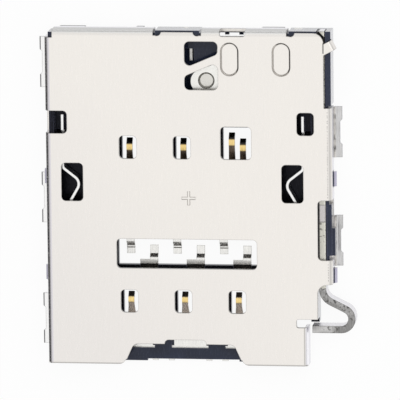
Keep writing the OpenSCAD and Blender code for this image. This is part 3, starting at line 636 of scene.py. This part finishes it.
# Push rod: left side, thickness and top of its straight run, where that ends, and the elbow of its hook
ROD_LEFT = 6.06
ROD_THICK = 0.34
ROD_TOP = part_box("push_rod")[1].z / MM
ROD_STRAIGHT = -4.24
ROD_ELBOW = -5.4
ELBOW_HALF = 0.2

# Push rod: shares of its thickness where the painted highlight of the rim starts and where the painted shade
# of the seam ends
RIM_FROM = 0.86
SEAM_TO = 0.17

# Push rod: the painted shadow on its rear end, by Y and by X plus Y, and depths below its top
END_Y = 7.0
END_GAP = 14.03
ROD_BRIM = 0.03
SPECK_TOP = 0.02
SPECK_FOOT = 0.04

# Push rod colours: hook
HOOK_GREY = (0.35, 0.345, 0.34)
HOOK_DARK = (0.20, 0.195, 0.19)
HOOK_HIGHLIGHT = (0.90, 0.89, 0.88)
SPOT_DARK = (0.05, 0.048, 0.046)

# Push rod colours: straight run
ROD_TAN = (0.63, 0.615, 0.55)
ROD_BRUSHED = (0.46, 0.45, 0.40)
ROD_RIGHT = (0.68, 0.66, 0.59)
ROD_RIM_HIGHLIGHT = (0.90, 0.88, 0.80)
ROD_LOW = (0.60, 0.57, 0.56)
ROD_SEAM_SHADE = (0.03, 0.03, 0.032)

# Push rod colours: whole rod
SPECK_DARK = (0.07, 0.065, 0.06)
ROD_SIDE_HIGHLIGHT = (0.80, 0.79, 0.82)
END_SHADOW = (0.012, 0.012, 0.013)
ROD_EDGE_SHADE = (0.12, 0.118, 0.115)


def rod_hook(f, brushed):
    """Brushed hook with painted highlight patches, and with dark spots near its elbow."""
    hook = f.mix(brushed, HOOK_GREY, HOOK_DARK)
    # Painted highlight: bright patches on the hook
    highlight_patches = f.ramp(f.grain((0.9, 0.5, 0.5), detail=1.0), high=0.5, start=0.45, stop=0.7)
    hook = f.mix(highlight_patches, hook, HOOK_HIGHLIGHT)
    spots = f.above(f.grain((0.16, 0.2, 0.2), detail=2.5), level=0.605, soft=0.04)
    elbow = f.ramp(
        f.y, low=0.1, high=0.75, start=ROD_ELBOW - ELBOW_HALF, stop=ROD_ELBOW + ELBOW_HALF)
    return f.mix(f.both(spots, elbow), hook, SPOT_DARK)


def rod_run(f, brushed):
    """Tan sheared top of the straight run, lighter towards the right, with a painted highlight on its right
    rim and painted shade in a seam on the left.
    """
    across = f.math("DIVIDE", f.math("SUBTRACT", f.x, ROD_LEFT), ROD_THICK)
    run = f.mix(brushed, ROD_TAN, ROD_BRUSHED)
    run = f.mix(f.ramp(across, high=0.8, start=0.2, stop=0.85), run, ROD_RIGHT)
    # Painted highlight on the right rim of the run
    run = f.mix(f.above(across, RIM_FROM, SOFT), run, ROD_RIM_HIGHLIGHT)
    run = f.mix(f.below(f.z, ROD_TOP - ROD_BRIM), run, ROD_LOW)
    # Painted shade along the left side of the run
    return f.mix(f.below(across, SEAM_TO, soft=0.08), run, ROD_SEAM_SHADE)


def rod_finish():
    """Steel strip: tan top, brushed and spotted hook, dark specks, sides painted pale as lit, a painted
    shadow on its rear end and edge lines of painted shade.
    """
    f = Finish("rod_strip", metallic=1.0, roughness=0.34)
    brushed = f.ramp(f.grain((0.03, 0.35, 0.03), detail=3.0))
    f.colour = f.mix(f.above(f.y, ROD_STRAIGHT, SOFT), rod_hook(f, brushed), rod_run(f, brushed))
    specks = f.above(f.grain((0.14, 0.14, 0.14), detail=1.5), level=0.625, soft=0.03)
    top = f.ramp(f.z, low=0.1, high=0.65, start=ROD_TOP - SPECK_FOOT, stop=ROD_TOP - SPECK_TOP)
    f.layer(f.both(specks, top), SPECK_DARK)
    # Painted highlight: the steep sides are painted pale as lit
    f.layer(f.below(f.tilt(), CUT_TILT, soft=0.3), ROD_SIDE_HIGHLIGHT)
    # Painted shadow on the rear end, beside the plate's corner
    end = f.both(f.below(f.math("ADD", f.x, f.y), END_GAP, soft=0.04), f.above(f.y, END_Y, SOFT))
    f.layer(end, END_SHADOW)
    # Painted shade: dark lines along every sharp edge
    f.layer(f.edges(radius=0.08), ROD_EDGE_SHADE, share=0.55)
    return f.paint(f.weigh(brushed, off=0.24, on=0.42), relief=brushed, depth=0.0012, strength=0.4)


# Eject lever: its top, and how far below it the rim of the boss ends
LEVER_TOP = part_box("eject_lever")[1].z / MM
LEVER_RIM = 0.03

# Eject lever colours
LEVER_BRIGHT = (0.94, 0.93, 0.89)
LEVER_CLOUD = (0.89, 0.88, 0.84)
LEVER_RUBBED = (0.74, 0.73, 0.70)
LEVER_LOW_SHADE = (0.72, 0.705, 0.66)
CONE_SHADE = (0.52, 0.51, 0.48)
CONE_RIM_SHADE = (0.16, 0.155, 0.15)
LEVER_CUT_AND_SHADE = (0.12, 0.115, 0.11)


def lever_finish():
    """Stamped steel, plated as the shell is, with painted shade in the boss recess and on its pressed and
    cut sides, and arcs rubbed by the plate above.
    """
    f = Finish("lever_plating", metallic=1.0, roughness=0.3)
    cloud = f.ramp(f.grain((0.6, 0.6, 0.6)))
    rubbed = f.grain((0.25, 0.02, 0.2), detail=3.0)
    f.colour = f.mix(cloud, LEVER_BRIGHT, LEVER_CLOUD)
    f.layer(f.ramp(rubbed, high=0.25), LEVER_RUBBED)
    rim = f.above(f.z, LEVER_TOP - LEVER_RIM)
    # Painted shade on the faces below the top, in the boss recess
    f.layer(f.other(rim), LEVER_LOW_SHADE)
    # Painted shade on the boss walls and the sides, with the dull cut steel on the steep sides
    sides = f.mix(f.below(f.tilt(), STEEP_TILT, BROAD), f.mix(rim, CONE_SHADE, CONE_RIM_SHADE), LEVER_CUT_AND_SHADE)
    f.layer(f.below(f.tilt(), BENT_TILT, soft=0.06), sides)
    return f.paint(f.ramp(rubbed, low=0.24, high=0.38), relief=rubbed, depth=0.0008, strength=0.4)


# Colours of the detect switch and of the die marks
DETECT_TIN = (0.80, 0.79, 0.76)
DETECT_LINE = (0.60, 0.59, 0.57)
MARK_BLACK_AND_SHADE = (0.035, 0.035, 0.038)
MARK_GREY = (0.09, 0.09, 0.095)


def detect_finish():
    """Tin-plated strip of the detect switch."""
    f = Finish("detect_plating", metallic=1.0, roughness=0.3)
    drawn = f.grain((0.25, 0.25, 0.015))
    f.colour = f.mix(f.ramp(drawn), DETECT_TIN, DETECT_LINE)
    return f.paint(f.ramp(drawn, low=0.24, high=0.4), relief=drawn, depth=0.0006, strength=0.4)


def mark_finish():
    """Near-black steel at the bottom of a die mark, dark enough to serve as painted shade along the left
    fold.
    """
    f = Finish("die_mark", metallic=1.0, roughness=0.4)
    cloud = f.ramp(f.grain((0.05, 0.05, 0.05)))
    f.colour = f.mix(cloud, MARK_BLACK_AND_SHADE, MARK_GREY)
    return f.paint(f.weigh(cloud, off=0.35, on=0.5))


def make_camera():
    """Long lens almost straight above the plate, leaning to the rod side and the rear."""
    data = bpy.data.cameras.new("photo_camera")
    data.lens = LENS_MM
    data.sensor_width = SENSOR_MM
    camera = bpy.data.objects.new("photo_camera", data)
    bpy.context.collection.objects.link(camera)
    back = LEAN.normalized()
    distance = FIELD * LENS_MM / SENSOR_MM
    # The roll is halfway between the plate's front edge level and its sides upright
    level = (Vector((1, 0, 0)) - back * back.x).normalized()
    upright = (Vector((0, 1, 0)) - back * back.y).normalized()
    right = (level + upright.cross(back)).normalized()
    up = back.cross(right)
    turn = Matrix((right, up, back)).transposed()
    camera.matrix_world = Matrix.Translation(AIM + back * distance) @ turn.to_4x4()
    bpy.context.scene.camera = camera


def background_share(tree, share):
    """Share of plain white that the camera, mirrors and glass see, as a node output."""
    path = tree.nodes.new("ShaderNodeLightPath")
    total = path.outputs["Is Camera Ray"]
    for ray in ("Is Glossy Ray", "Is Transmission Ray"):
        add = tree.nodes.new("ShaderNodeMath")
        add.operation = "ADD"
        add.use_clamp = True
        tree.links.new(total, add.inputs[0])
        tree.links.new(path.outputs[ray], add.inputs[1])
        total = add.outputs[0]
    scale = tree.nodes.new("ShaderNodeMath")
    scale.operation = "MULTIPLY"
    scale.inputs[1].default_value = share
    tree.links.new(total, scale.inputs[0])
    return scale.outputs[0]


def make_floor():
    """White sheet under the socket that keeps a faint shadow."""
    bpy.ops.mesh.primitive_plane_add(size=FLOOR_SIZE, location=(0, 0, cad_box[0].z - FLOOR_DROP))
    floor = bpy.context.object
    floor.name = "floor"
    material = bpy.data.materials.new("floor_sheet")
    material.use_nodes = True
    tree = material.node_tree
    tree.nodes.clear()
    out = tree.nodes.new("ShaderNodeOutputMaterial")
    mix = tree.nodes.new("ShaderNodeMixShader")
    diffuse = tree.nodes.new("ShaderNodeBsdfDiffuse")
    glow = tree.nodes.new("ShaderNodeEmission")
    diffuse.inputs["Color"].default_value = FLOOR_GREY
    tree.links.new(background_share(tree, FLOOR_WHITE), mix.inputs[0])
    tree.links.new(diffuse.outputs[0], mix.inputs[1])
    tree.links.new(glow.outputs[0], mix.inputs[2])
    tree.links.new(mix.outputs[0], out.inputs[0])
    floor.data.materials.append(material)


def make_light():
    """Bright ceiling, a horizon that is dark on the left and grey on the rod side, and one soft lamp."""
    world = bpy.data.worlds.new("studio")
    bpy.context.scene.world = world
    world.use_nodes = True
    tree = world.node_tree
    background = tree.nodes["Background"]
    background.inputs["Color"].default_value = (1, 1, 1, 1)
    direction = tree.nodes.new("ShaderNodeTexCoord")
    parts = tree.nodes.new("ShaderNodeSeparateXYZ")
    tree.links.new(direction.outputs["Generated"], parts.inputs[0])

    def step(part, start, stop, low, high):
        """Smooth step of the light along one part of the direction."""
        node = tree.nodes.new("ShaderNodeMapRange")
        node.interpolation_type = "SMOOTHSTEP"
        spans = {"From Min": start, "From Max": stop, "To Min": low, "To Max": high}
        for name, value in spans.items():
            node.inputs[name].default_value = value
        tree.links.new(parts.outputs[part], node.inputs["Value"])
        return node.outputs["Result"]

    sky = tree.nodes.new("ShaderNodeMix")
    tree.links.new(step("Z", *CEILING, 0.0, 1.0), sky.inputs[0])
    tree.links.new(step("X", *HORIZON, *HORIZON_LIGHT), sky.inputs[2])
    sky.inputs[3].default_value = 1.0
    tree.links.new(sky.outputs[0], background.inputs["Strength"])
    data = bpy.data.lights.new("soft_lamp", "AREA")
    data.size = LAMP_SIZE
    data.energy = LAMP_POWER
    lamp = bpy.data.objects.new("soft_lamp", data)
    lamp.location = LAMP_PLACE
    lamp.rotation_euler = (-lamp.location).to_track_quat("-Z", "Y").to_euler()
    bpy.context.collection.objects.link(lamp)


# Marks of the folding die: rows along Y, pitch, size across, along and out of the fold, depth and tilt
LEFT_ROWS = ((-7.85, 2.98), (4.16, 7.45))
LEFT_PITCH = 0.15
LEFT_MARK = (0.07, 0.07, 0.02)
LEFT_SUNK = 0.012
LEFT_TILT = math.radians(-50)
RIGHT_ROWS = ((0.08, 4.2), (-3.85, -3.0))
RIGHT_PITCH = 0.13
RIGHT_MARK = (0.03, 0.034, 0.012)
RIGHT_SUNK = 0.0076
RIGHT_TILT = math.radians(12)

# Marks of the folding die: share of its size that the smallest keeps, share of the pitch that one may drift,
# faces round and along a mark, and the seed
MARK_SMALLEST = (0.7, 0.7, 0.8)
MARK_DRIFT = 0.25
MARK_SEGMENTS = 10
MARK_RINGS = 5
MARK_SEED = 11


def mark_tree():
    """Geometry Nodes tree: a row of flat, rounded marks with uneven places and sizes."""
    tree = bpy.data.node_groups.new("die_marks", "GeometryNodeTree")
    kinds = {
        "Count": "Int", "Start": "Vector", "Step": "Vector", "Turn": "Vector", "Size": "Vector",
        "Drift": "Vector", "Seed": "Int", "Finish": "Material",
    }
    for name, kind in kinds.items():
        tree.interface.new_socket(name, in_out="INPUT", socket_type="NodeSocket" + kind)
    tree.interface.new_socket("Geometry", in_out="OUTPUT", socket_type="NodeSocketGeometry")
    start = tree.nodes.new("NodeGroupInput").outputs

    def step(kind, links, **settings):
        """Outputs of a new node, with its inputs linked or set."""
        node = tree.nodes.new(kind)
        for key, value in settings.items():
            setattr(node, key, value)
        for name, value in links.items():
            if isinstance(value, bpy.types.NodeSocket):
                tree.links.new(value, node.inputs[name])
            else:
                node.inputs[name].default_value = value
        return node.outputs

    row = step("GeometryNodeMeshLine", {
        "Count": start["Count"], "Start Location": start["Start"], "Offset": start["Step"]})
    back = step("ShaderNodeVectorMath", {0: start["Drift"], 1: (-1, -1, -1)}, operation="MULTIPLY")
    drift = step("FunctionNodeRandomValue", {
        "Min": back[0], "Max": start["Drift"], "Seed": start["Seed"]}, data_type="FLOAT_VECTOR")
    placed = step("GeometryNodeSetPosition", {"Geometry": row["Mesh"], "Offset": drift["Value"]})
    small = step("ShaderNodeVectorMath", {0: start["Size"], 1: MARK_SMALLEST}, operation="MULTIPLY")
    size = step("FunctionNodeRandomValue", {
        "Min": small[0], "Max": start["Size"], "Seed": start["Seed"]}, data_type="FLOAT_VECTOR")
    mark = step("GeometryNodeMeshUVSphere", {
        "Segments": MARK_SEGMENTS, "Rings": MARK_RINGS, "Radius": 1.0})
    marks = step("GeometryNodeInstanceOnPoints", {
        "Points": placed["Geometry"], "Instance": mark["Mesh"],
        "Rotation": start["Turn"], "Scale": size["Value"]})
    real = step("GeometryNodeRealizeInstances", {"Geometry": marks["Instances"]})
    smooth = step("GeometryNodeSetShadeSmooth", {"Geometry": real["Geometry"]})
    painted = step("GeometryNodeSetMaterial", {
        "Geometry": smooth["Geometry"], "Material": start["Finish"]})
    tree.links.new(painted["Geometry"], tree.nodes.new("NodeGroupOutput").inputs["Geometry"])
    return tree


def mark_row(tree, name, values):
    """Plain mesh of one row of marks that rides on the socket."""
    maker = bpy.data.objects.new(name + "_maker", bpy.data.meshes.new(name + "_maker"))
    bpy.context.collection.objects.link(maker)
    modifier = maker.modifiers.new("marks", "NODES")
    modifier.node_group = tree
    sockets = {s.name: s.identifier for s in tree.interface.items_tree if s.in_out == "INPUT"}
    for key, value in values.items():
        modifier[sockets[key]] = value
    evaluated = maker.evaluated_get(bpy.context.evaluated_depsgraph_get())
    mesh = bpy.data.meshes.new_from_object(evaluated)
    mesh.name = name
    bpy.data.objects.remove(maker)
    piece = bpy.data.objects.new(name, mesh)
    bpy.context.collection.objects.link(piece)
    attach(piece, "socket")


def die_marks():
    """Marks that the folding die left: a dense dark row on the left fold, which also serves as painted shade
    along it, fine dots on the right one.
    """
    tree = mark_tree()
    dark = mark_finish()
    sides = (
        # The left row also serves as painted shade along the left fold
        ("fold_marks_left", -1, LEFT_ROWS, LEFT_PITCH, LEFT_MARK, LEFT_SUNK, LEFT_TILT),
        ("fold_marks_right", 1, RIGHT_ROWS, RIGHT_PITCH, RIGHT_MARK, RIGHT_SUNK, RIGHT_TILT),
    )
    for name, side, rows, pitch, size, sunk, tilt in sides:
        radius = FOLD_R - sunk
        x = side * FOLD_X + radius * math.sin(tilt)
        z = FOLD_Z + radius * math.cos(tilt)
        for number, (first, last) in enumerate(rows, 1):
            mark_row(tree, f"{name}_{number}", {
                "Count": int((last - first) / pitch) + 1,
                "Start": Vector((x, first, z)) * MM,
                "Step": Vector((0, pitch, 0)) * MM,
                "Turn": (0, tilt, 0),
                "Size": Vector(size) * MM,
                "Drift": Vector((0, pitch * MARK_DRIFT, 0)) * MM,
                "Seed": MARK_SEED,
                "Finish": dark,
            })


def dress():
    """Gives every node its finish."""
    slots = {row["node"]: row["material_slot"] for row in frame["record"]["subparts"]}
    finishes = {
        "shell_steel": shell_finish(),
        "housing_plastic": housing_finish(),
        "contact_alloy": contact_finish(),
        "spring_steel": spring_finish(),
        "rod_steel": rod_finish(),
        "lever_steel": lever_finish(),
    }
    detect = detect_finish()
    for name, node in frame["nodes"].items():
        node.data.materials.clear()
        node.data.materials.append(detect if name.startswith("detect") else finishes[slots[name]])


make_camera()
make_floor()
make_light()
dress()
die_marks()
bpy.context.scene.view_settings.view_transform = "Standard"
